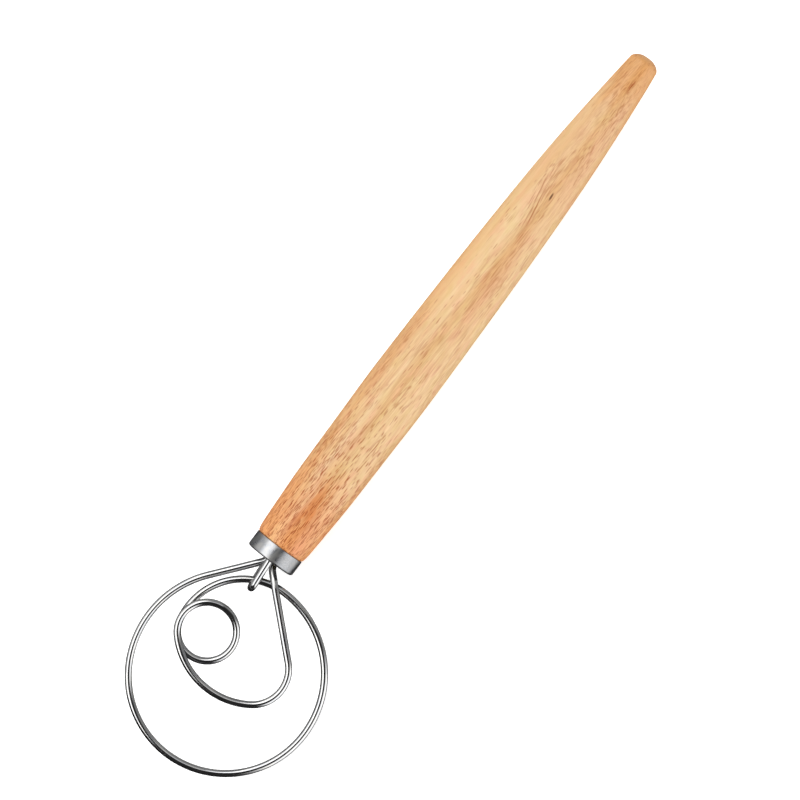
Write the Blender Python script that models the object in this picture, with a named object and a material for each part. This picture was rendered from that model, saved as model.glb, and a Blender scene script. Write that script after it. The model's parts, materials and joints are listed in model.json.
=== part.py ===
"""A Danish dough whisk: three nested loops of steel wire on a turned wooden handle.

Units are metres. The pieces are modelled in the whisk's own frame, whose origin is the middle
of the ferrule's mouth. There +X runs along the handle to its butt, and the loops lie flat in
the XY plane. The rest empty then lays the whole whisk on a table as it comes to rest, with
its bounding box centred on the world's Z axis and its lowest point at Z = 0.
"""

import math

import bmesh
import bpy
from mathutils import Euler, Vector

# Wire
WIRE_DIAMETER = 0.0030
WIRE_BEVEL_RESOLUTION = 4
LAYER = 0.0033  # from one wire's middle to the next one's where they cross
MAX_STEP = 0.0042  # longest stretch between two stations
MAX_TURN = math.radians(10.0)  # largest turn between two stations

# Loops, in the order in which the wire is bent
LEG_DEPTH = 0.0250  # how far the wire's two legs reach into the handle
FIRST_LEG_Y = 0.00095
LAST_LEG_Y = FIRST_LEG_Y - LAYER
LEG_BEND_RADIUS = 0.005
FIRST_LEG_BEND_X = 0.0007
FIRST_LEG_BEND = 39.0
FIRST_LEG_RUN = 0.0226
OUTER_RING = ((0.0425, 68.5), (0.0395, 142.0), (0.0410, 97.5))  # radius and degrees of each arc
SECOND_ARC = (0.0280, 103.0)
SMALL_RING = (0.0120, 391.0)
MIDDLE_LOOP = ((0.0315, 81.0), (0.0146, 103.0))
LAST_LEG_BEND = 47.0
CLIMB = (130.0, 308.0)  # degrees round the small ring between which the wire climbs one layer
DESCENT = 0.0108  # stretch before the ferrule's mouth in which it comes back down

# Retaining hook, a hairpin round the end of the outer ring
HOOK_DEPTH = 0.0200
HOOK_REACH = 0.0103  # from the mouth to the middle of its bend
HOOK_RADIUS = LAYER
HOOK_TURN = 5.0
HOOK_LEAN = 0.0008  # how far the under leg stands beside the upper one
HOOK_ARC_STEPS = 12

# Ferrule
FERRULE_RADIUS = 0.01095
FERRULE_LENGTH = 0.0070
FERRULE_WALL = 0.0006
FERRULE_EDGE_RADIUS = 0.0010
FERRULE_HOLE_RADIUS = 0.00525
CORNER_STEPS = 4

# Handle, turned
GAP = 0.0003  # between pieces that touch
BORE_RADIUS = 0.0060
BORE_DEPTH = 0.0290  # from the mouth
BORE_POINT = 0.0025
TENON_CHAMFER = 0.0006
SHOULDER_X = FERRULE_LENGTH + GAP
# Distance from the shoulder and radius; the outline is a smooth curve through these
HANDLE_OUTLINE = (
    (0.0, 0.01095),
    (0.0016, 0.01135),
    (0.005, 0.01170),
    (0.017, 0.01233),
    (0.029, 0.01285),
    (0.053, 0.01322),
    (0.080, 0.01358),
    (0.114, 0.01315),
    (0.150, 0.01238),
    (0.187, 0.01100),
    (0.211, 0.00945),
    (0.236, 0.00725),
    (0.2434, 0.00645),
)
HANDLE_LENGTH = 0.2470  # from the shoulder to the butt
BUTT_FLAT_RADIUS = 0.0026
OUTLINE_STEPS = 2
BUTT_STEPS = 5
TURNED_SEGMENTS = 40

# Resin plug in the bore
PLUG_RADIUS = BORE_RADIUS - GAP
PLUG_START = 0.0010
PLUG_END = 0.0285
PLUG_HOLE_RADIUS = WIRE_DIAMETER / 2 + GAP
PLUG_HOLE_SIDES = 20

# The attitude in which the whisk lies at rest
REST_ROLL = math.radians(10.9)
REST_PITCH = math.radians(-0.86)

WOOD = ("wood", (0.80, 0.56, 0.34), 0.0, 0.48)
FERRULE_STEEL = ("ferrule_steel", (0.62, 0.62, 0.62), 1.0, 0.32)
WIRE_STEEL = ("wire_steel", (0.74, 0.74, 0.74), 1.0, 0.14)
RESIN = ("resin", (0.62, 0.55, 0.40), 0.0, 0.35)


def clear_scene():
    for obj in list(bpy.data.objects):
        bpy.data.objects.remove(obj, do_unlink=True)


def material(spec):
    name, colour, metallic, roughness = spec
    made = bpy.data.materials.new(name)
    made.use_nodes = True
    made.diffuse_color = (*colour, 1.0)
    shader = made.node_tree.nodes["Principled BSDF"]
    shader.inputs["Base Color"].default_value = (*colour, 1.0)
    shader.inputs["Metallic"].default_value = metallic
    shader.inputs["Roughness"].default_value = roughness
    return made


def add_object(name, data, parent, surface):
    obj = bpy.data.objects.new(name, data)
    bpy.context.scene.collection.objects.link(obj)
    obj.parent = parent
    if surface:
        data.materials.append(material(surface))
    return obj


def arc_points(centre, radii, first, last, steps):
    """(x, r) points of an elliptical arc, both ends included, from one angle to another."""
    angles = [first + (last - first) * i / steps for i in range(steps + 1)]
    return [
        (centre[0] + radii[0] * math.cos(a), centre[1] + radii[1] * math.sin(a)) for a in angles
    ]


def smooth_outline(points, steps):
    """The points joined by a Catmull-Rom curve, with the given steps to each stretch."""
    padded = [points[0], *points, points[-1]]
    smooth = [points[0]]
    for before, start, end, after in zip(padded, padded[1:], padded[2:], padded[3:]):
        span = end[0] - start[0]
        slope_in = (end[1] - before[1]) / (end[0] - before[0])
        slope_out = (after[1] - start[1]) / (after[0] - start[0])
        for i in range(1, steps + 1):
            t = i / steps
            radius = (
                (2 * t**3 - 3 * t**2 + 1) * start[1]
                + (t**3 - 2 * t**2 + t) * span * slope_in
                + (3 * t**2 - 2 * t**3) * end[1]
                + (t**3 - t**2) * span * slope_out
            )
            smooth.append((start[0] + span * t, radius))
    return smooth


def turned(name, outline, closed, parent, surface):
    """A solid of revolution about X. An outline that isn't closed starts and ends on the axis."""
    bm = bmesh.new()
    corners = [bm.verts.new((x, 0.0, r)) for x, r in outline]
    ends = corners[1:] + corners[:1] if closed else corners[1:]
    edges = [bm.edges.new(pair) for pair in zip(corners, ends)]
    bmesh.ops.spin(
        bm,
        geom=corners + edges,
        cent=(0.0, 0.0, 0.0),
        axis=(1.0, 0.0, 0.0),
        angle=math.tau,
        steps=TURNED_SEGMENTS,
        use_merge=True,
    )
    bmesh.ops.remove_doubles(bm, verts=bm.verts, dist=1e-7)
    bmesh.ops.recalc_face_normals(bm, faces=bm.faces)
    mesh = bpy.data.meshes.new(name)
    bm.to_mesh(mesh)
    bm.free()
    mesh.shade_smooth()
    mesh.set_sharp_from_angle(angle=math.radians(35.0))
    return add_object(name, mesh, parent, surface)


def wire(name, points, parent):
    """A round wire of the whisk's gauge along the points."""
    curve = bpy.data.curves.new(name, "CURVE")
    curve.dimensions = "3D"
    curve.bevel_depth = WIRE_DIAMETER / 2
    curve.bevel_resolution = WIRE_BEVEL_RESOLUTION
    curve.use_fill_caps = True
    spline = curve.splines.new("POLY")
    spline.points.add(len(points) - 1)
    for place, point in zip(spline.points, points):
        place.co = (*point, 1.0)
    return add_object(name, curve, parent, WIRE_STEEL)


def run(length):
    """A straight stretch, as its length and its turn."""
    return length, 0.0


def bend(radius, degrees):
    """An arc, as its length and its turn: to the left where degrees is positive."""
    turn = math.radians(degrees)
    return radius * abs(turn), turn


def place_after(x, y, heading, length, turn):
    """Where a stretch of wire ends, and the heading there."""
    if not turn:
        return x + length * math.cos(heading), y + length * math.sin(heading), heading
    radius = length / turn
    end = heading + turn
    x += radius * (math.sin(end) - math.sin(heading))
    y -= radius * (math.cos(end) - math.cos(heading))
    return x, y, end


def trace(moves, x, y, heading):
    """Stations (x, y, distance travelled) along the moves, and the last heading."""
    stations = [(x, y, 0.0)]
    travelled = 0.0
    for length, turn in moves:
        count = max(1, math.ceil(length / MAX_STEP), math.ceil(abs(turn) / MAX_TURN))
        for i in range(1, count + 1):
            share = i / count
            px, py, _ = place_after(x, y, heading, length * share, turn * share)
            stations.append((px, py, travelled + length * share))
        x, y, heading = place_after(x, y, heading, length, turn)
        travelled += length
    return stations, heading


def ease(value, low, high):
    """Smooth step from 0 at low to 1 at high."""
    share = min(1.0, max(0.0, (value - low) / (high - low)))
    return share * share * (3.0 - 2.0 * share)


def whisk_wire_path():
    """The middle line of the one long wire, from the end of its first leg to that of its last.

    It turns once round the outer ring, comes back inside it as a second arc, winds once round
    the small ring, climbs over itself there and closes the middle loop. The straight run into
    the handle is as long as brings the last leg to its own place beside the first.
    """
    moves = [
        run(LEG_DEPTH - FIRST_LEG_BEND_X),
        bend(LEG_BEND_RADIUS, -FIRST_LEG_BEND),
        run(FIRST_LEG_RUN),
        *(bend(*arc) for arc in OUTER_RING),
        bend(*SECOND_ARC),
    ]
    to_small_ring = sum(length for length, _ in moves)
    moves.append(bend(*SMALL_RING))
    moves.extend(bend(*arc) for arc in MIDDLE_LOOP)
    start = (LEG_DEPTH, FIRST_LEG_Y, math.pi)
    stations, heading = trace(moves, *start)
    last_bend = bend(LEG_BEND_RADIUS, -LAST_LEG_BEND)
    bend_x, bend_y, _ = place_after(0.0, 0.0, heading, *last_bend)
    closing = (LAST_LEG_Y - bend_y - stations[-1][1]) / math.sin(heading)
    moves += [run(closing), last_bend]
    mouth_x = stations[-1][0] + closing * math.cos(heading) + bend_x
    to_mouth = sum(length for length, _ in moves)
    moves.append(run(LEG_DEPTH - mouth_x))
    stations, _ = trace(moves, *start)
    climb_start, climb_end = (to_small_ring + SMALL_RING[0] * math.radians(a) for a in CLIMB)
    return [
        (x, y, LAYER * (ease(s, climb_start, climb_end) - ease(s, to_mouth - DESCENT, to_mouth)))
        for x, y, s in stations
    ]


def hook_path():
    """A hairpin: in over the outer ring's end, round it and back under it."""
    moves = [run(HOOK_DEPTH), bend(LEG_BEND_RADIUS, HOOK_TURN)]
    straight = HOOK_REACH - moves[1][0]
    stations, heading = trace(moves + [run(straight)], HOOK_DEPTH, 0.0, math.pi)
    outward = Vector((math.cos(heading), math.sin(heading), 0.0))
    middle = Vector((*stations[-1][:2], 0.0))
    over = [(x, y, HOOK_RADIUS) for x, y, _ in stations]
    under = [(x, y + HOOK_LEAN, -z) for x, y, z in reversed(over)]
    round_it = []
    for i in range(1, HOOK_ARC_STEPS):
        angle = math.pi * i / HOOK_ARC_STEPS
        point = middle + outward * HOOK_RADIUS * math.sin(angle)
        point.y += HOOK_LEAN * (1.0 - math.cos(angle)) / 2
        round_it.append((point.x, point.y, HOOK_RADIUS * math.cos(angle)))
    return over + round_it + under


def add_ferrule(parent):
    """A thin cap over the handle's tenon, with a round hole for the wires in its end."""
    inner = FERRULE_RADIUS - FERRULE_WALL
    edge = FERRULE_EDGE_RADIUS
    outline = [(FERRULE_WALL, FERRULE_HOLE_RADIUS), (0.0, FERRULE_HOLE_RADIUS)]
    centre = (edge, FERRULE_RADIUS - edge)
    outline += arc_points(centre, (edge, edge), math.pi, math.pi / 2, CORNER_STEPS)
    outline += [(FERRULE_LENGTH, FERRULE_RADIUS), (FERRULE_LENGTH, inner), (FERRULE_WALL, inner)]
    return turned("ferrule", outline, True, parent, FERRULE_STEEL)


def add_handle(parent):
    """The turned handle: a blind bore, a tenon inside the ferrule, and the grip to its butt."""
    tenon = FERRULE_RADIUS - FERRULE_WALL - GAP
    face = FERRULE_WALL + GAP
    outline = [
        (BORE_DEPTH + BORE_POINT, 0.0),
        (BORE_DEPTH, BORE_RADIUS),
        (face, BORE_RADIUS),
        (face, tenon - TENON_CHAMFER),
        (face + TENON_CHAMFER, tenon),
        (SHOULDER_X, tenon),
    ]
    outline += [(SHOULDER_X + x, r) for x, r in smooth_outline(HANDLE_OUTLINE, OUTLINE_STEPS)]
    dome_start, dome_radius = HANDLE_OUTLINE[-1]
    flat_edge = math.asin(BUTT_FLAT_RADIUS / dome_radius)
    dome_length = (HANDLE_LENGTH - dome_start) / math.cos(flat_edge)
    dome = (SHOULDER_X + dome_start, 0.0)
    outline += arc_points(dome, (dome_length, dome_radius), math.pi / 2, flat_edge, BUTT_STEPS)[1:]
    outline.append((SHOULDER_X + HANDLE_LENGTH, 0.0))
    return turned("handle", outline, False, parent, WOOD)


def add_plug(parent):
    """Set resin that fills the bore round the four wire ends."""
    outline = [
        (PLUG_START, 0.0),
        (PLUG_START, PLUG_RADIUS),
        (PLUG_END, PLUG_RADIUS),
        (PLUG_END, 0.0),
    ]
    plug = turned("resin_plug", outline, False, parent, RESIN)
    legs = (
        (FIRST_LEG_Y, 0.0, LEG_DEPTH),
        (LAST_LEG_Y, 0.0, LEG_DEPTH),
        (0.0, HOOK_RADIUS, HOOK_DEPTH),
        (HOOK_LEAN, -HOOK_RADIUS, HOOK_DEPTH),
    )
    for number, (y, z, depth) in enumerate(legs, 1):
        start = -PLUG_START
        end = depth + GAP
        bm = bmesh.new()
        bmesh.ops.create_cone(
            bm,
            cap_ends=True,
            segments=PLUG_HOLE_SIDES,
            radius1=PLUG_HOLE_RADIUS,
            radius2=PLUG_HOLE_RADIUS,
            depth=end - start,
        )
        mesh = bpy.data.meshes.new(f"leg_hole_{number}")
        bm.to_mesh(mesh)
        bm.free()
        cutter = add_object(mesh.name, mesh, parent, None)
        cutter.location = ((start + end) / 2, y, z)
        cutter.rotation_euler = (0.0, math.pi / 2, 0.0)
        cutter.hide_render = True
        cutter.display_type = "WIRE"
        cut = plug.modifiers.new(mesh.name, "BOOLEAN")
        cut.object = cutter
        cut.operation = "DIFFERENCE"
    return plug


def lay_on_table(rest, pieces):
    """Turns the whisk to its resting attitude and centres its box over the origin."""
    rest.rotation_euler = Euler((REST_ROLL, REST_PITCH, 0.0))
    bpy.context.view_layer.update()
    graph = bpy.context.evaluated_depsgraph_get()
    corners = []
    for piece in pieces:
        evaluated = piece.evaluated_get(graph)
        mesh = evaluated.to_mesh()
        corners += [evaluated.matrix_world @ vertex.co for vertex in mesh.vertices]
        evaluated.to_mesh_clear()
    low = Vector(min(corner[i] for corner in corners) for i in range(3))
    high = Vector(max(corner[i] for corner in corners) for i in range(3))
    middle = (low + high) / 2
    rest.location = (-middle.x, -middle.y, -low.z)


def main():
    clear_scene()
    rest = bpy.data.objects.new("rest", None)
    bpy.context.scene.collection.objects.link(rest)
    pieces = [
        add_handle(rest),
        add_ferrule(rest),
        wire("whisk_wire", whisk_wire_path(), rest),
        wire("retaining_hook", hook_path(), rest),
        add_plug(rest),
    ]
    lay_on_table(rest, pieces)


main()
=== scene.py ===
"""The looks of a Danish dough whisk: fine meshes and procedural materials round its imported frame.

Lengths are metres, and millimetres inside the materials. Each piece is worked out in the whisk's
own frame, whose origin is the middle of the ferrule's mouth: +X runs along the handle to its butt,
and the loops lie flat in the XY plane. Its vertices are then stored where the whisk lies at rest.
"""

import json
import math

import bmesh
import bpy
from mathutils import Euler, Matrix, Vector, geometry


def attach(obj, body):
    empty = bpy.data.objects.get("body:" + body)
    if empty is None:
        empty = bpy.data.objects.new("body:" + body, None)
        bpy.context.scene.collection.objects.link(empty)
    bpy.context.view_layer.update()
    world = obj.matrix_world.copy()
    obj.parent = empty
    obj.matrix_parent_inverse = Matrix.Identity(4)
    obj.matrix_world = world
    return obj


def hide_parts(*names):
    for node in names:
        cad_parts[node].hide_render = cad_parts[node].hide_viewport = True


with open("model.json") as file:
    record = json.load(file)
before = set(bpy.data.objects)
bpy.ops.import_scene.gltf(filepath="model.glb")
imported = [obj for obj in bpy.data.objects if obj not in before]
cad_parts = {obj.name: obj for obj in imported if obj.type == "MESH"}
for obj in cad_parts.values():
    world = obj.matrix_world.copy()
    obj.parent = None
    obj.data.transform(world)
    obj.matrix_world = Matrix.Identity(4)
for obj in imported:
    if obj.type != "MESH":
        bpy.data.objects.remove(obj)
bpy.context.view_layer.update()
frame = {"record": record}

MILLIMETRE = 0.001

# Wire
WIRE_RADIUS = 0.0015
WIRE_SIDES = 36
LAYER = 0.0033  # from one wire's middle to the next one's where they cross
MAX_STEP = 0.0015  # longest stretch between two stations
MAX_TURN = math.radians(2.5)  # largest turn between two stations

# Loops, in the order in which the wire is bent
LEG_DEPTH = 0.0250  # how far the wire's two legs reach into the handle
FIRST_LEG_Y = 0.00095
LAST_LEG_Y = FIRST_LEG_Y - LAYER
LEG_BEND_RADIUS = 0.005
FIRST_LEG_BEND_X = 0.0007
FIRST_LEG_BEND = 39.0
FIRST_LEG_RUN = 0.0226
OUTER_RING = ((0.0425, 68.5), (0.0395, 142.0), (0.0410, 97.5))  # radius and degrees of each arc
SECOND_ARC = (0.0280, 103.0)
SMALL_RING = (0.0120, 391.0)
MIDDLE_LOOP = ((0.0315, 81.0), (0.0146, 103.0))
LAST_LEG_BEND = 47.0
CLIMB = (130.0, 308.0)  # degrees round the small ring between which the wire climbs one layer
DESCENT = 0.0108  # stretch before the ferrule's mouth in which it comes back down

# Retaining hook, a hairpin round the end of the outer ring
HOOK_DEPTH = 0.0200
HOOK_REACH = 0.0103  # from the mouth to the middle of its bend
HOOK_TURN = 5.0  # degrees to the left by which it is bent at the mouth
HOOK_LEAN = 0.0008  # how far the under leg stands beside the upper one
HOOK_ARC_STEPS = 36

# Ferrule
FERRULE_RADIUS = 0.01095
FERRULE_LENGTH = 0.0070
FERRULE_WALL = 0.0006
FERRULE_EDGE_RADIUS = 0.0010
FERRULE_HOLE_RADIUS = 0.00525
FERRULE_LIP_RADIUS = 0.00014  # of the round on its cut edges
EDGE_STEPS = 14
LIP_STEPS = 4
SIDE_STEPS = 6

# Handle, turned
GAP = 0.0003  # between the ferrule and the handle
BORE_RADIUS = 0.0060
BORE_DEPTH = 0.0290  # from the mouth
BORE_POINT = 0.0025  # depth of its conical end
TENON_CHAMFER = 0.0006
SHOULDER_X = FERRULE_LENGTH + GAP
SHOULDER_ROUND = 0.0003
SHOULDER_RISE = 0.00005  # how far the round's top stands above the shoulder's edge
SHOULDER_STEPS = 6
# Distance from the shoulder and radius; the outline is a smooth curve through these
HANDLE_OUTLINE = (
    (0.0, 0.01095),
    (0.0016, 0.01135),
    (0.005, 0.01170),
    (0.017, 0.01233),
    (0.029, 0.01285),
    (0.053, 0.01322),
    (0.080, 0.01358),
    (0.114, 0.01315),
    (0.150, 0.01238),
    (0.187, 0.01100),
    (0.211, 0.00945),
    (0.236, 0.00725),
    (0.2434, 0.00645),
)
HANDLE_LENGTH = 0.2470  # from the shoulder to the butt
BUTT_FLAT_RADIUS = 0.0026
OUTLINE_STEPS = 12
BUTT_STEPS = 20
TURNED_SEGMENTS = 160

# Resin plug in the bore
PLUG_GAP = 0.0001  # between the resin and the bore
PLUG_RADIUS = BORE_RADIUS - PLUG_GAP
PLUG_START = 0.0010
PLUG_END = 0.0285
PLUG_RINGS = 26
PLUG_RING_SIDES = 7  # of the innermost ring of points on its face
PLUG_SPACING = 0.00012  # least distance from those points to the wires and the rim
PLUG_CLEARANCE = 0.00002  # between the resin and the wires
PLUG_HOLE_SIDES = 48
PLUG_TOLERANCE = 0.00001  # millimetres within which points of its face are one
WHOLE_OUTLINE = 0  # has the triangulation fill the holes too, which are then left out
MENISCUS_HEIGHT = 0.00035  # how far the resin crept up the wires and the bore before it set
MENISCUS_REACH = 0.0007

SHARP_EDGE = math.radians(35.0)  # edges that turn more than this are not smoothed over

# The attitude in which the whisk lies at rest
REST_ROLL = math.radians(10.9)
REST_PITCH = math.radians(-0.86)


def whisk_to_world():
    """The matrix that lays the whisk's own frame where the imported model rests."""
    turn = Euler((REST_ROLL, REST_PITCH, 0.0)).to_matrix()
    butt = next(m for m in frame["record"]["mounts"] if m["name"] == "handle_butt")
    origin = Vector(butt["pos_m"]) - turn @ Vector((SHOULDER_X + HANDLE_LENGTH, 0.0, 0.0))
    return Matrix.Translation(origin) @ turn.to_4x4()


REST = whisk_to_world()


# ---- Meshes -------------------------------------------------------------------------------------


def add_piece(node, verts, faces, places, surface):
    """Adds a finished piece, which stands for the CAD node of that name.

    places holds each vertex's own coordinates, which the materials read in millimetres.
    """
    mesh = bpy.data.meshes.new(node + "_fine")
    mesh.from_pydata([REST @ Vector(vert) for vert in verts], [], faces)
    stored = mesh.attributes.new("place", "FLOAT_VECTOR", "POINT")
    stored.data.foreach_set("vector", [c / MILLIMETRE for place in places for c in place])
    mesh.shade_smooth()
    mesh.set_sharp_from_angle(angle=SHARP_EDGE)
    mesh.materials.append(surface)
    piece = bpy.data.objects.new(mesh.name, mesh)
    bpy.context.scene.collection.objects.link(piece)
    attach(piece, "root")
    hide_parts(node)


def arc_points(centre, radii, first, last, steps):
    """(x, r) points of an elliptical arc, both ends included, from one angle to another."""
    angles = [first + (last - first) * i / steps for i in range(steps + 1)]
    return [
        (centre[0] + radii[0] * math.cos(a), centre[1] + radii[1] * math.sin(a)) for a in angles
    ]


def smooth_outline(points, steps):
    """The points joined by a Catmull-Rom curve, with the given steps to each stretch."""
    padded = [points[0], *points, points[-1]]
    smooth = [points[0]]
    for before, start, end, after in zip(padded, padded[1:], padded[2:], padded[3:]):
        span = end[0] - start[0]
        slope_in = (end[1] - before[1]) / (end[0] - before[0])
        slope_out = (after[1] - start[1]) / (after[0] - start[0])
        for i in range(1, steps + 1):
            t = i / steps
            radius = (
                (2 * t**3 - 3 * t**2 + 1) * start[1]
                + (t**3 - 2 * t**2 + t) * span * slope_in
                + (3 * t**2 - 2 * t**3) * end[1]
                + (t**3 - t**2) * span * slope_out
            )
            smooth.append((start[0] + span * t, radius))
    return smooth


def turned(outline, closed):
    """Vertices and faces of a solid of revolution about X."""
    verts, rings, faces = [], [], []
    for x, radius in outline:
        count = TURNED_SEGMENTS if radius > 0 else 1
        rings.append(range(len(verts), len(verts) + count))
        for i in range(count):
            angle = math.tau * i / count
            verts.append((x, radius * math.cos(angle), radius * math.sin(angle)))
    for ring, following in zip(rings, rings[1:] + rings[:1] if closed else rings[1:]):
        for i in range(TURNED_SEGMENTS):
            j = (i + 1) % TURNED_SEGMENTS
            corners = [ring[i % len(ring)], ring[j % len(ring)]]
            corners += [following[j % len(following)], following[i % len(following)]]
            faces.append(list(dict.fromkeys(corners)))
    return verts, faces


def run(length):
    """A straight stretch, as its length and its turn."""
    return length, 0.0


def bend(radius, degrees):
    """An arc, as its length and its turn: to the left where degrees is positive."""
    turn = math.radians(degrees)
    return radius * abs(turn), turn


def place_after(x, y, heading, length, turn):
    """Where a stretch of wire ends, and the heading there."""
    if not turn:
        return x + length * math.cos(heading), y + length * math.sin(heading), heading
    radius = length / turn
    end = heading + turn
    x += radius * (math.sin(end) - math.sin(heading))
    y -= radius * (math.cos(end) - math.cos(heading))
    return x, y, end


def trace(moves, x, y, heading):
    """Stations (x, y, distance travelled) along the moves, and the last heading."""
    stations = [(x, y, 0.0)]
    travelled = 0.0
    for length, turn in moves:
        count = max(1, math.ceil(length / MAX_STEP), math.ceil(abs(turn) / MAX_TURN))
        for i in range(1, count + 1):
            share = i / count
            px, py, _ = place_after(x, y, heading, length * share, turn * share)
            stations.append((px, py, travelled + length * share))
        x, y, heading = place_after(x, y, heading, length, turn)
        travelled += length
    return stations, heading


def ease(value, low, high):
    """Smooth step from 0 at low to 1 at high."""
    share = min(1.0, max(0.0, (value - low) / (high - low)))
    return share * share * (3.0 - 2.0 * share)


def whisk_wire_path():
    """The middle line of the one long wire, from the end of its first leg to that of its last.

    It turns once round the outer ring, comes back inside it as a second arc, winds once round
    the small ring, climbs over itself there and closes the middle loop. The straight run into
    the handle is as long as brings the last leg to its own place beside the first.
    """
    moves = [
        run(LEG_DEPTH - FIRST_LEG_BEND_X),
        bend(LEG_BEND_RADIUS, -FIRST_LEG_BEND),
        run(FIRST_LEG_RUN),
        *(bend(*arc) for arc in OUTER_RING),
        bend(*SECOND_ARC),
    ]
    to_small_ring = sum(length for length, _ in moves)
    moves.append(bend(*SMALL_RING))
    moves.extend(bend(*arc) for arc in MIDDLE_LOOP)
    start = (LEG_DEPTH, FIRST_LEG_Y, math.pi)
    stations, heading = trace(moves, *start)
    last_bend = bend(LEG_BEND_RADIUS, -LAST_LEG_BEND)
    bend_x, bend_y, _ = place_after(0.0, 0.0, heading, *last_bend)
    closing = (LAST_LEG_Y - bend_y - stations[-1][1]) / math.sin(heading)
    moves += [run(closing), last_bend]
    mouth_x = stations[-1][0] + closing * math.cos(heading) + bend_x
    to_mouth = sum(length for length, _ in moves)
    moves.append(run(LEG_DEPTH - mouth_x))
    stations, _ = trace(moves, *start)
    climb_start, climb_end = (to_small_ring + SMALL_RING[0] * math.radians(a) for a in CLIMB)
    path = []
    for x, y, travelled in stations:
        climbed = ease(travelled, climb_start, climb_end)
        returned = ease(travelled, to_mouth - DESCENT, to_mouth)
        path.append(Vector((x, y, LAYER * (climbed - returned))))
    return path


def hook_path():
    """A hairpin: in over the outer ring's end, round it and back under it."""
    bent_length, turn = bend(LEG_BEND_RADIUS, HOOK_TURN)
    moves = [run(HOOK_DEPTH), (bent_length, turn), run(HOOK_REACH - bent_length)]
    stations, heading = trace(moves, HOOK_DEPTH, 0.0, math.pi)
    outward = Vector((math.cos(heading), math.sin(heading), 0.0))
    middle = Vector((*stations[-1][:2], 0.0))
    over = [Vector((x, y, LAYER)) for x, y, _ in stations]
    under = [Vector((p.x, p.y + HOOK_LEAN, -p.z)) for p in reversed(over)]
    round_it = []
    for i in range(1, HOOK_ARC_STEPS):
        angle = math.pi * i / HOOK_ARC_STEPS
        point = middle + outward * LAYER * math.sin(angle)
        point.y += HOOK_LEAN * (1.0 - math.cos(angle)) / 2
        point.z = LAYER * math.cos(angle)
        round_it.append(point)
    return over + round_it + under


def tube(path):
    """Vertices, faces and strand coordinates of a round wire along the path.

    A strand coordinate is the vertex's place on the wire as if it were pulled out straight.
    """
    verts, places, faces = [], [], []
    tangents = [(b - a).normalized() for a, b in zip(path, path[1:])]
    travelled = 0.0
    side = Vector((0.0, 0.0, 1.0))
    for i, point in enumerate(path):
        before, after = tangents[max(0, i - 1)], tangents[min(i, len(tangents) - 1)]
        along = (before + after).normalized()
        side = (side - along * side.dot(along)).normalized()
        other = along.cross(side)
        if i:
            travelled += (point - path[i - 1]).length
        for j in range(WIRE_SIDES):
            angle = math.tau * j / WIRE_SIDES
            across, up = WIRE_RADIUS * math.sin(angle), WIRE_RADIUS * math.cos(angle)
            verts.append(point + side * up + other * across)
            places.append((travelled, across, up))
    for i in range(len(path) - 1):
        for j in range(WIRE_SIDES):
            k = (j + 1) % WIRE_SIDES
            ring, following = i * WIRE_SIDES, (i + 1) * WIRE_SIDES
            faces.append((ring + j, ring + k, following + k, following + j))
    faces.append(list(range(WIRE_SIDES - 1, -1, -1)))
    faces.append(list(range(len(verts) - WIRE_SIDES, len(verts))))
    return verts, faces, places


def handle_outline():
    """The handle's section: a blind bore, the tenon, the shoulder, the grip and the butt."""
    tenon = FERRULE_RADIUS - FERRULE_WALL - GAP
    face = FERRULE_WALL + GAP
    outline = [
        (BORE_DEPTH + BORE_POINT, 0.0),
        (BORE_DEPTH, BORE_RADIUS),
        (face, BORE_RADIUS),
        (face, tenon - TENON_CHAMFER),
        (face + TENON_CHAMFER, tenon),
        (SHOULDER_X, tenon),
    ]
    grip = [(SHOULDER_X + x, r) for x, r in smooth_outline(HANDLE_OUTLINE, OUTLINE_STEPS)]
    rounded = (SHOULDER_X + SHOULDER_ROUND, grip[0][1] - SHOULDER_ROUND + SHOULDER_RISE)
    radii = (SHOULDER_ROUND, SHOULDER_ROUND)
    outline += arc_points(rounded, radii, math.pi, math.pi / 2, SHOULDER_STEPS)
    outline += [point for point in grip if point[0] > rounded[0] + SHOULDER_ROUND / 2]
    dome_start, dome_radius = HANDLE_OUTLINE[-1]
    flat_edge = math.asin(BUTT_FLAT_RADIUS / dome_radius)
    dome_length = (HANDLE_LENGTH - dome_start) / math.cos(flat_edge)
    dome = (SHOULDER_X + dome_start, 0.0)
    outline += arc_points(dome, (dome_length, dome_radius), math.pi / 2, flat_edge, BUTT_STEPS)[1:]
    outline.append((SHOULDER_X + HANDLE_LENGTH, 0.0))
    return outline


def ferrule_outline():
    """A thin drawn cap with a large round on its front edge and a small one on its cut edges."""
    inner = FERRULE_RADIUS - FERRULE_WALL
    edge, lip, hole = FERRULE_EDGE_RADIUS, FERRULE_LIP_RADIUS, FERRULE_HOLE_RADIUS
    quarter = math.pi / 2

    def lip_round(x, radius, first, last):
        """A small round on a cut edge, from one angle to another."""
        return arc_points((x, radius), (lip, lip), first, last, LIP_STEPS)

    outline = [(FERRULE_WALL, inner), (FERRULE_WALL, hole + lip)]
    outline += lip_round(FERRULE_WALL - lip, hole + lip, 0.0, -quarter)[1:]
    outline += lip_round(lip, hole + lip, -quarter, -2 * quarter)
    front = (edge, FERRULE_RADIUS - edge)
    outline += arc_points(front, (edge, edge), 2 * quarter, quarter, EDGE_STEPS)
    outline += [(FERRULE_LENGTH * i / SIDE_STEPS, FERRULE_RADIUS) for i in range(1, SIDE_STEPS)]
    outline += lip_round(FERRULE_LENGTH - lip, FERRULE_RADIUS - lip, quarter, 0.0)
    outline.append((FERRULE_LENGTH, inner))
    return outline


def circle(y, z, radius, count):
    """(y, z) points round a circle."""
    angles = [math.tau * i / count for i in range(count)]
    return [(y + radius * math.cos(a), z + radius * math.sin(a)) for a in angles]


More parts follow.
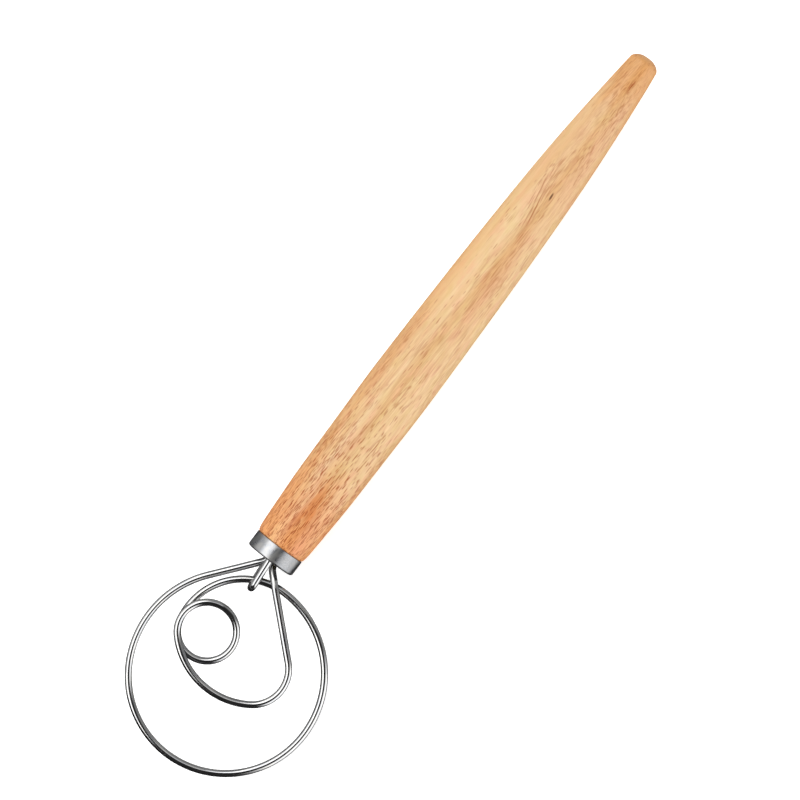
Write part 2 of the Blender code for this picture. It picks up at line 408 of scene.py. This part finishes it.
def plug_face(loops, gap_at):
    """Triangles over the plug's face: its rim and holes, given as loops, and points between them.

    The points come out as (y, z), those of the loops first and in their order.
    """
    points = [point for loop in loops for point in loop]
    edges = []
    for loop in loops:
        first = len(edges)
        edges += [(first + i, first + (i + 1) % len(loop)) for i in range(len(loop))]
    for i in range(1, PLUG_RINGS):
        ring = circle(0.0, 0.0, PLUG_RADIUS * i / PLUG_RINGS, PLUG_RING_SIDES * i)
        points += [point for point in ring if gap_at(*point) > PLUG_SPACING]
    flat = [Vector(point) / MILLIMETRE for point in points]
    _, _, faces, origins, _, _ = geometry.delaunay_2d_cdt(
        flat, edges, [], WHOLE_OUTLINE, PLUG_TOLERANCE, True
    )
    triangles = []
    for face in faces:
        corners = [origins[corner][0] for corner in face]
        y, z = (sum(points[corner][k] for corner in corners) / 3 for k in (0, 1))
        if gap_at(y, z) > PLUG_CLEARANCE:
            triangles.append(corners)
    return points, triangles


def plug_mesh():
    """Set resin round the four wire ends, with a face that creeps up what it touches."""
    legs = (
        (FIRST_LEG_Y, 0.0, LEG_DEPTH),
        (LAST_LEG_Y, 0.0, LEG_DEPTH),
        (0.0, LAYER, HOOK_DEPTH),
        (HOOK_LEAN, -LAYER, HOOK_DEPTH),
    )

    def gap_at(y, z):
        """How far a point of the face is from the nearest wire or from the plug's rim."""
        walls = [math.hypot(y - leg[0], z - leg[1]) - WIRE_RADIUS for leg in legs]
        return min(*walls, PLUG_RADIUS - math.hypot(y, z))

    holes = [circle(y, z, WIRE_RADIUS + PLUG_CLEARANCE, PLUG_HOLE_SIDES) for y, z, _ in legs]
    loops = [circle(0.0, 0.0, PLUG_RADIUS, TURNED_SEGMENTS), *holes]
    points, triangles = plug_face(loops, gap_at)
    verts = []
    for y, z in points:
        crept = MENISCUS_HEIGHT * math.exp(-max(0.0, gap_at(y, z)) / MENISCUS_REACH)
        verts.append((PLUG_START - crept, y, z))
    faces = [face[::-1] for face in triangles]
    depths = [PLUG_END] + [leg[2] + PLUG_CLEARANCE for leg in legs]
    first = 0
    for loop, depth in zip(loops, depths):
        count, last = len(loop), len(verts)
        verts += [(depth, y, z) for y, z in loop]
        rim, far = range(first, first + count), range(last, last + count)
        walls = [[rim[i - 1], rim[i], far[i], far[i - 1]] for i in range(count)]
        walls.append(list(far))
        # The outer wall faces the bore, and a hole's wall faces its wire
        faces += walls if loop is loops[0] else [face[::-1] for face in walls]
        first += count
    return verts, faces


# ---- Materials ----------------------------------------------------------------------------------

MIX_COLOURS = (6, 7)  # sockets of a Mix node that hold its two colours
MIX_RESULT = 2  # and the one that gives their mix
DASH_CORE = 0.7  # share of a dash's width over which it is fully dark
NOISE_MEAN = (0.5, 0.5, 0.5)


def tone(red, green, blue):
    """A colour as a screen shows it, 0 to 255, in the linear values that shaders take."""
    linear = [((c / 255 + 0.055) / 1.055) ** 2.4 for c in (red, green, blue)]
    return (*linear, 1.0)


class Recipe:
    """A material under construction, with a short method for each kind of node that it uses."""

    def __init__(self, name, **constants):
        self.material = bpy.data.materials.new(name)
        self.material.use_nodes = True
        self.nodes = self.material.node_tree.nodes
        self.shader = self.nodes["Principled BSDF"]
        for socket, value in constants.items():
            self.shader.inputs[socket.replace("_", " ")].default_value = value

    def feed(self, socket, value):
        """Links value to the socket, or sets it there if it is a plain number or colour."""
        if isinstance(value, bpy.types.NodeSocket):
            self.material.node_tree.links.new(value, socket)
        else:
            socket.default_value = value

    def node(self, kind, settings=None, **inputs):
        """A node with its settings and inputs, of which the names have _ for a space."""
        made = self.nodes.new("ShaderNode" + kind)
        for name, value in (settings or {}).items():
            setattr(made, name, value)
        for name, value in inputs.items():
            self.feed(made.inputs[name.replace("_", " ")], value)
        return made

    def place(self):
        """Each vertex's own coordinates in millimetres."""
        return self.node("Attribute", {"attribute_name": "place"}).outputs["Vector"]

    def axis(self, vector, letter):
        """One coordinate of the vector."""
        return self.node("SeparateXYZ", Vector=vector).outputs[letter]

    def turned(self, vector, degrees):
        """The vector, turned about the three axes."""
        angles = [math.radians(d) for d in degrees]
        return self.node("Mapping", Vector=vector, Rotation=angles).outputs[0]

    def stretched(self, vector, lengths, shift=0.0):
        """Coordinates in which a pattern one unit across comes out as long as lengths says."""
        scale = [1.0 / length for length in lengths]
        offset = (shift, shift, shift)
        return self.node("Mapping", Vector=vector, Scale=scale, Location=offset).outputs[0]

    def maths(self, operation, *numbers):
        """The result of a Math node."""
        made = self.nodes.new("ShaderNodeMath")
        made.operation = operation
        for socket, number in zip(made.inputs, numbers):
            self.feed(socket, number)
        return made.outputs[0]

    def product(self, first, second):
        """One number times the other."""
        return self.maths("MULTIPLY", first, second)

    def most(self, *shares):
        """The largest of the shares."""
        largest = shares[0]
        for share in shares[1:]:
            largest = self.maths("MAXIMUM", largest, share)
        return largest

    def vector_maths(self, operation, *vectors):
        """The result of a Vector Math node."""
        made = self.nodes.new("ShaderNodeVectorMath")
        made.operation = operation
        for socket, vector in zip(made.inputs, vectors):
            self.feed(socket, vector)
        return made.outputs["Value" if operation == "LENGTH" else "Vector"]

    def pattern(self, vector, lengths, shift, detail, roughness=0.5):
        """Cloudy noise with a mean of about a half, and clouds as long as lengths says."""
        cells = self.stretched(vector, lengths, shift)
        made = self.node("TexNoise", Vector=cells, Scale=1.0, Detail=detail, Roughness=roughness)
        return made.outputs["Fac"]

    def window(self, value, start, end, low=0.0, high=1.0):
        """A smooth change from low to high as value goes from start to end."""
        limits = {"From_Min": start, "From_Max": end, "To_Min": low, "To_Max": high}
        smooth = {"interpolation_type": "SMOOTHSTEP"}
        return self.node("MapRange", smooth, Value=value, **limits).outputs[0]

    def mix(self, share, under, over):
        """One colour over another, as far as share says."""
        made = self.node("Mix", {"data_type": "RGBA"}, Factor=share)
        for index, colour in zip(MIX_COLOURS, (under, over)):
            self.feed(made.inputs[index], colour)
        return made.outputs[MIX_RESULT]

    def coat(self, under, pattern, window, over):
        """A colour with another one over it where the window on the pattern is open."""
        return self.mix(self.window(pattern, *window), under, tone(*over))

    def dashes(self, vector, lengths, width, density, shift=0.0):
        """Short separate marks along the grain: 1 inside a mark, in a random share of cells."""
        made = self.node("TexVoronoi", Vector=self.stretched(vector, lengths, shift), Scale=1.0)
        shape = self.window(made.outputs["Distance"], width, width * DASH_CORE)
        chosen = self.node("SeparateColor", Color=made.outputs["Color"]).outputs["Red"]
        return self.product(shape, self.maths("LESS_THAN", chosen, density))

    def wavy(self, vector, lengths, reach):
        """The vector, swayed sideways by up to half of reach in waves of the given lengths."""
        sway = self.node("TexNoise", Vector=self.stretched(vector, lengths), Scale=1.0, Detail=1.0)
        centred = self.vector_maths("SUBTRACT", sway.outputs["Color"], NOISE_MEAN)
        return self.vector_maths("MULTIPLY_ADD", centred, (0.0, reach, reach), vector)

    def spot(self, vector, centre, size, degrees, soft):
        """1 in the middle of an ellipsoid with the given size, and 0 outside it."""
        shape = {
            "Location": centre,
            "Rotation": (0.0, 0.0, math.radians(degrees)),
            "Scale": [length / 2 for length in size],
        }
        made = self.node("Mapping", {"vector_type": "TEXTURE"}, Vector=vector, **shape)
        away = self.vector_maths("LENGTH", made.outputs[0])
        return self.window(away, 1.0, 1.0 - soft)

    def bump(self, height, depth, under=None):
        """Relief of the given depth in millimetres, on top of what lies under it."""
        made = self.node("Bump", Height=height, Distance=depth * MILLIMETRE)
        if under is not None:
            self.feed(made.inputs["Normal"], under)
        return made.outputs[0]

    def finished(self, colour, roughness, relief):
        """The material, with these as the shader's colour, roughness and normal."""
        self.feed(self.shader.inputs["Base Color"], colour)
        self.feed(self.shader.inputs["Roughness"], roughness)
        self.feed(self.shader.inputs["Normal"], relief)
        return self.material


# The values below are the arguments of Recipe's methods: a pattern's cloud lengths, shift, detail
# and roughness, a patch's middle, size, slant and softness, and for a window where the change
# starts and ends and the values before and after it.

WOOD_IOR = 1.48
GRAIN_SLANT = (0.0, 1.5, 2.0)  # degrees
GRAIN_SWAY = ((34.0, 9.0, 9.0), 1.4)
GRAIN_PATTERNS = {
    "clouds": ((26.0, 5.0, 5.0), 3.1, 3.0),
    "blotches": ((9.0, 3.2, 3.2), 7.7, 2.0),
    "fibres": ((9.0, 0.42, 0.42), 0.0, 3.0, 0.6),
    "bands": ((110.0, 3.6, 3.6), 1.3, 2.0),
    "ripples": ((13.0, 2.4, 2.4), 12.1, 1.0),
    "threads": ((5.5, 0.55, 0.55), 2.9, 1.0),
    "crowds": ((15.0, 3.4, 3.4), 5.5, 1.0),
    "lines": ((14.0, 0.50, 0.50), 4.2, 1.0),
}

# Patches and stretches of the handle with a colour of their own
FIGURE_SWAY = ((22.0, 7.0, 7.0), 3.0)
FIGURE_PATCHES = {
    "heart": ((150.0, -4.3, 13.0), (96.0, 12.0, 18.0), 2.5, 0.8),
    "shoulder": ((25.0, -0.5, 12.0), (50.0, 19.0, 22.0), -3.0, 0.9),
    "left cluster": ((98.0, 10.4, 8.0), (60.0, 7.0, 14.0), 0.0, 0.6),
    "pale patch": ((10.0, 4.2, 11.0), (22.0, 9.0, 12.0), 0.0, 0.8),
    "blush": ((10.0, -6.0, 9.0), (20.0, 8.0, 14.0), 0.0, 0.8),
    "right band": ((212.0, -5.6, 9.0), (120.0, 7.5, 16.0), 1.5, 0.7),
}
CLOUD_REACH = 50.0  # how far the clouds move the next two windows along the handle
NEAR_END = (82.0, 34.0)
BUTT_END = (245.0, 276.0)
FAR_HALF = (165.0, 195.0)
LEFT_EDGE = (4.5, 12.0)  # across the handle
LEFT_EDGE_LENGTH = (195.0, 140.0)
CLEAR_SLANT = (0.0, 0.0, -3.0)  # degrees
CLEAR_SIDE = (-7.5, -4.0)  # across the handle
CLEAR_LENGTH = (104.0, 134.0, 0.0, 0.66)
TAN_BANDS = (0.38, 0.62)
PINK_BLOTCHES = (0.50, 0.70)
YELLOW_BLOTCHES = (0.48, 0.32)
RIPPLES = (0.40, 0.58, 0.05, 1.0)
FIBRES = (0.36, 0.66)
THREADS = (0.48, 0.62)

# Short pores: lengths of their cells, width, shift and how strongly they show
CROWDED_PORES = (
    ((7.4, 0.74, 0.74), 0.29, 0.0, 1.0),
    ((6.0, 0.68, 0.68), 0.30, 5.4, 0.97),
    ((4.4, 0.62, 0.62), 0.32, 9.7, 0.95),
)
SPARSE_PORES = ((10.0, 0.74, 0.74), 0.31, 8.3, 0.60)
NEAR_DENSITY = (112.0, 26.0, 0.06, 1.15)
CROWDING = (0.36, 0.56, 0.40, 1.0)
CLUSTER_DENSITY = 0.6
SPARSE_DENSITY = (0.50, 0.64, 0.0, 0.8)
PORE_STRENGTH = (85.0, 35.0, 0.60, 1.0)

# Long streaks, and the two seams, the scar and the knot in the handle's far half
STEEP_SLANT = (0.0, 1.5, -9.0)  # degrees
STEEP_SWAY = ((40.0, 9.0, 9.0), 0.3)
STEEP_PATTERN = ((26.0, 0.52, 0.70), 6.2, 1.0)
STEEP_LINES = (0.50, 0.64, 0.0, 0.50)
STEEP_PATCH = ((184.0, 2.0, 11.0), (46.0, 9.0, 14.0), 9.0, 0.5)
LINES = (0.51, 0.64, 0.0, 0.48)
LINED_PATCH = ((218.0, -3.2, 8.0), (58.0, 6.5, 12.0), 1.0, 0.5)
HEART_LINES = 0.90
STREAKY_CROWDS = (0.42, 0.60, 0.25, 0.85)
RAGGED_SWAY = ((9.0, 3.0, 3.0), 0.5)
SEAM = ((177.0, -0.2, 11.0), (24.0, 0.80, 8.0), 10.0, 0.6)
SEAM_STRENGTH = 0.70
SECOND_SEAM = ((185.0, 2.7, 11.0), (20.0, 0.75, 8.0), 11.0, 0.6)
SECOND_SEAM_STRENGTH = 0.60
SCAR = ((240.5, -1.4, 7.0), (11.0, 3.0, 8.0), 0.0, 0.9)
SCAR_FIBRES = (0.40, 0.58, 0.40, 1.0)
KNOT = ((185.3, -2.4, 10.0), (4.6, 1.05, 8.0), 5.0, 0.5)

# The wood's colour, and the layers over it from the lowest up: where, how strongly, which colour
WOOD_GROUND = (211, 179, 131)
WOOD_LAYERS = (
    ("tan bands", 1.0, (205, 166, 116)),
    ("pink blotches", 0.60, (213, 164, 125)),
    ("yellow blotches", 0.50, (203, 173, 114)),
    ("heart", 0.64, (198, 145, 95)),
    ("far half", 0.42, (206, 160, 112)),
    ("right band", 0.45, (200, 150, 104)),
    ("left edge", 0.48, (203, 147, 86)),
    ("left cluster", 0.40, (198, 140, 92)),
    ("near end", 0.88, (216, 148, 87)),
    ("butt end", 0.80, (203, 145, 82)),
    ("pale patch", 0.65, (224, 178, 116)),
    ("blush", 0.55, (208, 128, 80)),
    ("rippled shoulder", 1.0, (196, 122, 66)),
    ("fibres", 0.36, (166, 112, 64)),
    ("near threads", 0.62, (178, 104, 48)),
    ("marks", 0.98, (146, 66, 0)),
    ("knot", 0.85, (84, 46, 16)),
)
FIBRE_ROUGHNESS = (0.3, 0.7, 0.36, 0.46)
MARK_ROUGHNESS = 0.2  # added in the pores and streaks
FIBRE_DEPTH = 0.008
MARK_DEPTH = 0.01


def wood_zones(wood, place, patterns, figured, swayed):
    """How much of its own colour each patch, band and stretch of the wood shows."""
    along = wood.axis(place, "X")
    across = wood.axis(place, "Y")
    reached = wood.maths("MULTIPLY_ADD", patterns["clouds"], CLOUD_REACH, along)
    zones = {name: wood.spot(swayed, *patch) for name, patch in FIGURE_PATCHES.items()}
    zones["tan bands"] = wood.window(patterns["bands"], *TAN_BANDS)
    zones["pink blotches"] = wood.window(patterns["blotches"], *PINK_BLOTCHES)
    zones["yellow blotches"] = wood.window(patterns["blotches"], *YELLOW_BLOTCHES)
    zones["far half"] = wood.window(along, *FAR_HALF)
    zones["near end"] = wood.window(reached, *NEAR_END)
    zones["butt end"] = wood.window(reached, *BUTT_END)
    left_length = wood.window(along, *LEFT_EDGE_LENGTH)
    zones["left edge"] = wood.product(wood.window(across, *LEFT_EDGE), left_length)
    ripples = wood.window(patterns["ripples"], *RIPPLES)
    zones["rippled shoulder"] = wood.product(zones["shoulder"], ripples)
    zones["fibres"] = wood.product(wood.window(patterns["fibres"], *FIBRES), figured)
    threads = wood.window(patterns["threads"], *THREADS)
    zones["near threads"] = wood.product(threads, zones["near end"])
    return zones


def wood_pores(wood, place, grain, crowds, zones, figured):
    """Short dashes, crowded towards the ferrule and sparse in the figured wood elsewhere."""
    along = wood.axis(place, "X")
    density = wood.product(wood.window(along, *NEAR_DENSITY), wood.window(crowds, *CROWDING))
    clusters = wood.most(zones["shoulder"], zones["left cluster"])
    density = wood.maths("ADD", density, wood.product(clusters, CLUSTER_DENSITY))
    sparse_density = wood.product(wood.window(crowds, *SPARSE_DENSITY), figured)
    kinds = [(density, *kind) for kind in CROWDED_PORES]
    kinds.append((sparse_density, *SPARSE_PORES))
    layers = []
    for share, cells, width, shift, strength in kinds:
        layers.append(wood.product(wood.dashes(grain, cells, width, share, shift), strength))
    return wood.product(wood.most(*layers), wood.window(along, *PORE_STRENGTH))


def wood_streaks(wood, place, ragged, patterns, heart, figured):
    """Long thin lines in the figured wood, two seams and the scar."""
    steep = wood.wavy(wood.turned(place, STEEP_SLANT), *STEEP_SWAY)
    steep_lines = wood.window(wood.pattern(steep, *STEEP_PATTERN), *STEEP_LINES)
    streaky = wood.product(wood.window(patterns["crowds"], *STREAKY_CROWDS), figured)
    lined = wood.most(wood.spot(place, *LINED_PATCH), wood.product(heart, HEART_LINES), streaky)
    scar_fibres = wood.window(patterns["fibres"], *SCAR_FIBRES)
    return wood.most(
        wood.product(wood.spot(place, *STEEP_PATCH), steep_lines),
        wood.product(lined, wood.window(patterns["lines"], *LINES)),
        wood.product(wood.spot(ragged, *SEAM), SEAM_STRENGTH),
        wood.product(wood.spot(ragged, *SECOND_SEAM), SECOND_SEAM_STRENGTH),
        wood.product(wood.spot(ragged, *SCAR), scar_fibres),
    )


def wood_material():
    """Oiled rubberwood: cream with tan bands, brown pore dashes and a tan shoulder and butt."""
    wood = Recipe("turned_rubberwood", IOR=WOOD_IOR)
    place = wood.place()
    grain = wood.wavy(wood.turned(place, GRAIN_SLANT), *GRAIN_SWAY)
    patterns = {name: wood.pattern(grain, *kind) for name, kind in GRAIN_PATTERNS.items()}
    swayed = wood.wavy(place, *FIGURE_SWAY)
    beside = wood.axis(wood.turned(swayed, CLEAR_SLANT), "Y")
    clear_length = wood.window(wood.axis(place, "X"), *CLEAR_LENGTH)
    clear = wood.product(wood.window(beside, *CLEAR_SIDE), clear_length)
    figured = wood.maths("SUBTRACT", 1.0, clear)

    layers = wood_zones(wood, place, patterns, figured, swayed)
    ragged = wood.wavy(place, *RAGGED_SWAY)
    pores = wood_pores(wood, place, grain, patterns["crowds"], layers, figured)
    streaks = wood_streaks(wood, place, ragged, patterns, layers["heart"], figured)
    marks = wood.most(pores, streaks)
    layers |= {"marks": marks, "knot": wood.spot(ragged, *KNOT)}
    colour = tone(*WOOD_GROUND)
    for name, strength, over in WOOD_LAYERS:
        colour = wood.mix(wood.product(layers[name], strength), colour, tone(*over))

    dull = wood.window(patterns["fibres"], *FIBRE_ROUGHNESS)
    dull = wood.maths("MULTIPLY_ADD", marks, MARK_ROUGHNESS, dull)
    relief = wood.bump(patterns["fibres"], FIBRE_DEPTH)
    relief = wood.bump(wood.maths("SUBTRACT", 1.0, marks), MARK_DEPTH, relief)
    return wood.finished(colour, dull, relief)


# A coat, such as FERRULE_PALE or WIRE_SCRATCHED, is given by its window and its colour
FERRULE_LINES = ((0.10, 5.0, 5.0), 0.0, 3.0, 0.6)
FERRULE_SPECKLE = ((0.45, 0.45, 0.45), 4.0, 3.0, 0.6)
FERRULE_BLOOM = ((3.0, 2.4, 2.4), 9.0, 2.0)
FERRULE_GROUND = (138, 140, 143)
FERRULE_PALE = ((0.35, 0.65), (156, 155, 153))
FERRULE_GRITTY = ((0.40, 0.70, 0.0, 0.35), (150, 152, 156))
# The darker speckled patch on the ferrule's -Y side is painted shade, laid over a real dull mottle
FERRULE_SHADE_AND_MOTTLE_PATCH = ((3.5, -6.0, 9.4), (40.0, 8.8, 14.0), 0.0, 0.6)
FERRULE_SHADE_AND_MOTTLE_SPECKLE = (0.38, 0.60, 0.45, 0.90)
FERRULE_SHADE_AND_MOTTLE = (110, 111, 113)
FERRULE_BLOOM_ROUGHNESS = (0.3, 0.7, 0.24, 0.32)
FERRULE_LINE_ROUGHNESS = (0.3, 0.7, 0.0, 0.07)
FERRULE_LINE_DEPTH = 0.0015
FERRULE_SPECKLE_DEPTH = 0.004


def ferrule_material():
    """Drawn steel with a fine grain round it, a mottled bloom, and a darker speckled patch on its
    -Y side that is painted shade over a real dull mottle.
    """
    steel = Recipe("satin_ferrule_steel", Metallic=1.0)
    place = steel.place()
    lines = steel.pattern(place, *FERRULE_LINES)
    speckle = steel.pattern(place, *FERRULE_SPECKLE)
    bloom = steel.pattern(place, *FERRULE_BLOOM)
    colour = steel.coat(tone(*FERRULE_GROUND), bloom, *FERRULE_PALE)
    colour = steel.coat(colour, speckle, *FERRULE_GRITTY)
    # Painted shade: the ferrule's -Y side is darkened in speckles, over a real dull mottle
    shade_and_mottle_speckle = steel.window(speckle, *FERRULE_SHADE_AND_MOTTLE_SPECKLE)
    shade_and_mottle = steel.product(steel.spot(place, *FERRULE_SHADE_AND_MOTTLE_PATCH), shade_and_mottle_speckle)
    colour = steel.mix(shade_and_mottle, colour, tone(*FERRULE_SHADE_AND_MOTTLE))
    bloom_roughness = steel.window(bloom, *FERRULE_BLOOM_ROUGHNESS)
    line_roughness = steel.window(lines, *FERRULE_LINE_ROUGHNESS)
    relief = steel.bump(lines, FERRULE_LINE_DEPTH)
    relief = steel.bump(speckle, FERRULE_SPECKLE_DEPTH, relief)
    return steel.finished(colour, steel.maths("ADD", bloom_roughness, line_roughness), relief)


WIRE_HAIRLINES = ((22.0, 0.14, 0.14), 0.0, 3.0, 0.65)
WIRE_BLOOM = ((7.0, 1.2, 1.2), 6.0, 2.0)
WIRE_GROUND = (154, 155, 157)
WIRE_PALE = ((0.3, 0.7), (170, 169, 167))
WIRE_SCRATCHED = ((0.5, 0.75, 0.0, 0.4), (120, 121, 124))
WIRE_BLOOM_ROUGHNESS = (0.3, 0.7, 0.07, 0.12)
WIRE_HAIRLINE_ROUGHNESS = (0.4, 0.7, 0.0, 0.05)
WIRE_HAIRLINE_DEPTH = 0.0006


def wire_material():
    """Polished drawn steel wire with long hairline scratches."""
    steel = Recipe("polished_wire_steel", Metallic=1.0)
    place = steel.place()
    hairlines = steel.pattern(place, *WIRE_HAIRLINES)
    bloom = steel.pattern(place, *WIRE_BLOOM)
    colour = steel.coat(tone(*WIRE_GROUND), bloom, *WIRE_PALE)
    colour = steel.coat(colour, hairlines, *WIRE_SCRATCHED)
    bloom_roughness = steel.window(bloom, *WIRE_BLOOM_ROUGHNESS)
    hairline_roughness = steel.window(hairlines, *WIRE_HAIRLINE_ROUGHNESS)
    rough = steel.maths("ADD", bloom_roughness, hairline_roughness)
    return steel.finished(colour, rough, steel.bump(hairlines, WIRE_HAIRLINE_DEPTH))


RESIN_IOR = 1.52
RESIN_CLOUDS = ((1.6, 1.6, 1.6), 0.0, 3.0)
RESIN_GROUND = (176, 158, 118)
RESIN_PALE = ((0.35, 0.65), (202, 186, 148))
RESIN_ROUGHNESS = (0.3, 0.7, 0.18, 0.34)
PINHOLES = ((0.7, 0.7, 0.7), 0.22, 0.35)  # lengths of their cells, width and density
PINHOLE_STRENGTH = 0.6
PINHOLE_TONE = (110, 94, 64)
PINHOLE_DEPTH = 0.08


def resin_material():
    """Cured casting resin: amber, slightly cloudy, with pinholes where bubbles broke."""
    resin = Recipe("cured_resin", IOR=RESIN_IOR)
    place = resin.place()
    clouds = resin.pattern(place, *RESIN_CLOUDS)
    pinholes = resin.dashes(place, *PINHOLES)
    colour = resin.coat(tone(*RESIN_GROUND), clouds, *RESIN_PALE)
    dark = resin.product(pinholes, PINHOLE_STRENGTH)
    colour = resin.mix(dark, colour, tone(*PINHOLE_TONE))
    relief = resin.bump(resin.maths("SUBTRACT", 1.0, pinholes), PINHOLE_DEPTH)
    return resin.finished(colour, resin.window(clouds, *RESIN_ROUGHNESS), relief)


# ---- Pieces -------------------------------------------------------------------------------------


def add_pieces():
    """Adds the five pieces. The wire and the hook are bent from the same steel wire."""
    steel = wire_material()
    for node, path in (("whisk_wire", whisk_wire_path()), ("retaining_hook", hook_path())):
        verts, faces, places = tube(path)
        add_piece(node, verts, faces, places, steel)
    verts, faces = turned(handle_outline(), False)
    add_piece("handle", verts, faces, verts, wood_material())
    verts, faces = turned(ferrule_outline(), True)
    add_piece("ferrule", verts, faces, verts, ferrule_material())
    verts, faces = plug_mesh()
    add_piece("resin_plug", verts, faces, verts, resin_material())


# ---- Studio -------------------------------------------------------------------------------------

CAMERA_DISTANCE = 1.5
VIEW_CENTRE = Vector((0.0835, -0.0031, 0.0))  # what the camera aims at, in the whisk's frame
VIEW_WIDTH = 0.324  # how much of the whisk's plane the picture takes in from side to side
HANDLE_SLANT = math.radians(37.05)  # of the handle in the picture, to the right of upright
WHITE = (1.0, 1.0, 1.0, 1.0)
FLOOR_RADIUS = 3.0
FLOOR_SIDES = 128
FLOOR_DROP = 0.0001  # just below what the whisk rests on
FLOOR_PAINT = {
    "Base Color": (0.85, 0.85, 0.85, 1.0),
    "Roughness": 0.9,
    "Specular IOR Level": 0.0,
    "Emission Color": WHITE,
    "Emission Strength": 0.6,  # keeps shadows faint
}
LIGHT_DISTANCE = 1.2
# Name, azimuth and tilt in degrees, width, length and radiance
SOFTBOXES = (
    ("left_softbox", 101.0, 34.0, 0.90, 2.10, 3.50),
    ("left_fill", 101.0, 74.0, 0.75, 2.10, 0.90),
    ("butt_panel", 12.0, 25.0, 0.50, 0.55, 1.20),
    ("right_softbox", -93.0, 62.0, 1.44, 1.55, 1.35),
)
# Axis, where the change starts and ends on it, and the strength before and after
WORLD_SIDES = (
    ("Y", -0.90, -0.65, 2.2, 0.05),
    ("Y", 0.60, 0.95, 0.0, 0.35),
    ("X", 0.25, 0.90, 0.0, 0.70),
)


def add_camera():
    """A camera that looks straight down on the loops, with the handle slanting to the right."""
    data = bpy.data.cameras.new("camera")
    data.lens = data.sensor_width * CAMERA_DISTANCE / VIEW_WIDTH
    camera = bpy.data.objects.new("camera", data)
    roll = Matrix.Rotation(HANDLE_SLANT - math.pi / 2, 4, "Z")
    away = Matrix.Translation((0.0, 0.0, CAMERA_DISTANCE))
    camera.matrix_world = REST @ Matrix.Translation(VIEW_CENTRE) @ roll @ away
    bpy.context.scene.collection.objects.link(camera)
    bpy.context.scene.camera = camera


def add_floor():
    """A pale table, left out of mirror reflections so that dark surroundings draw the wires."""
    bm = bmesh.new()
    bmesh.ops.create_circle(bm, cap_ends=True, segments=FLOOR_SIDES, radius=FLOOR_RADIUS)
    mesh = bpy.data.meshes.new("floor")
    bm.to_mesh(mesh)
    bm.free()
    paint = bpy.data.materials.new("pale_floor")
    paint.use_nodes = True
    shader = paint.node_tree.nodes["Principled BSDF"]
    for socket, value in FLOOR_PAINT.items():
        shader.inputs[socket].default_value = value
    mesh.materials.append(paint)
    floor = bpy.data.objects.new("floor", mesh)
    floor.location.z = -FLOOR_DROP
    floor.visible_glossy = False
    bpy.context.scene.collection.objects.link(floor)


def add_softbox(name, azimuth, tilt, width, length, radiance):
    """A rectangular light facing the whisk, tilted from overhead towards an azimuth.

    The azimuth is counted from the handle's direction towards the whisk's +Y side. The width is
    measured up and down, and the length sideways.
    """
    data = bpy.data.lights.new(name, "AREA")
    data.shape = "RECTANGLE"
    data.size, data.size_y = length, width
    data.energy = radiance * math.pi * width * length
    light = bpy.data.objects.new(name, data)
    swing = Matrix.Rotation(math.radians(azimuth - 90.0), 4, "Z")
    lean = Matrix.Rotation(math.radians(-tilt), 4, "X")
    light.matrix_world = REST @ swing @ lean @ Matrix.Translation((0.0, 0.0, LIGHT_DISTANCE))
    bpy.context.scene.collection.objects.link(light)


def add_world():
    """Dim surroundings, paler towards some sides, and a white backdrop for the camera alone."""
    world = bpy.data.worlds.new("studio")
    world.use_nodes = True
    bpy.context.scene.world = world
    nodes, links = world.node_tree.nodes, world.node_tree.links
    direction = nodes.new("ShaderNodeTexCoord")
    parts = nodes.new("ShaderNodeSeparateXYZ")
    links.new(direction.outputs["Generated"], parts.inputs[0])
    sides = []
    for axis, *window in WORLD_SIDES:
        side = nodes.new("ShaderNodeMapRange")
        side.interpolation_type = "SMOOTHSTEP"
        links.new(parts.outputs[axis], side.inputs["Value"])
        for name, number in zip(("From Min", "From Max", "To Min", "To Max"), window):
            side.inputs[name].default_value = number
        sides.append(side.outputs[0])
    strength = sides[0]
    for side in sides[1:]:
        total = nodes.new("ShaderNodeMath")
        links.new(strength, total.inputs[0])
        links.new(side, total.inputs[1])
        strength = total.outputs[0]
    dim = nodes.new("ShaderNodeBackground")
    links.new(strength, dim.inputs["Strength"])
    shown = nodes["Background"]
    shown.inputs["Color"].default_value = WHITE
    rays = nodes.new("ShaderNodeLightPath")
    choose = nodes.new("ShaderNodeMixShader")
    links.new(rays.outputs["Is Camera Ray"], choose.inputs[0])
    links.new(dim.outputs[0], choose.inputs[1])
    links.new(shown.outputs[0], choose.inputs[2])
    links.new(choose.outputs[0], nodes["World Output"].inputs["Surface"])


add_camera()
add_pieces()
add_floor()
for softbox in SOFTBOXES:
    add_softbox(*softbox)
add_world()
bpy.context.scene.view_settings.view_transform = "Standard"
bpy.context.view_layer.update()
